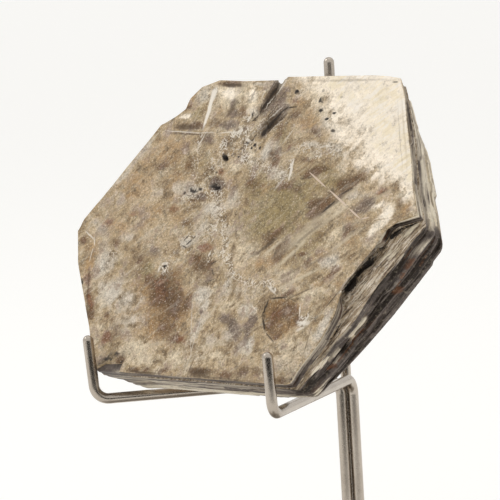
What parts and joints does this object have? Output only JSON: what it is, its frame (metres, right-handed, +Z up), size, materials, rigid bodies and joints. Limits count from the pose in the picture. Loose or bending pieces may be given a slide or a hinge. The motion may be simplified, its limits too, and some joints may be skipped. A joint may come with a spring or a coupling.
{
  "type": "mica crystal on a wire display stand",
  "caption": "Six-sided plate of layered mica leaning back in a bent-rod display stand with upturned hooks, a back rest and a flat base.",
  "frame": {"origin": "middle of the base plate's underside, on the surface that the stand rests on", "axes": "+Z up, -Y the way the crystal's cleavage face looks, +X to the right of someone facing it"},
  "size_m": [0.1081, 0.082, 0.1318],
  "materials": {
    "mica": "opaque layered mica with a pearly satin cleavage face and ragged dark edges",
    "rod_steel": "satin stainless wire rod",
    "base_steel": "brushed stainless plate with eased edges"
  },
  "bodies": {
    "root": {"mica_crystal": "mica", "left_hook_rod": "rod_steel", "right_hook_rod": "rod_steel", "back_rod": "rod_steel", "base_plate": "base_steel"}
  },
  "joints": []
}
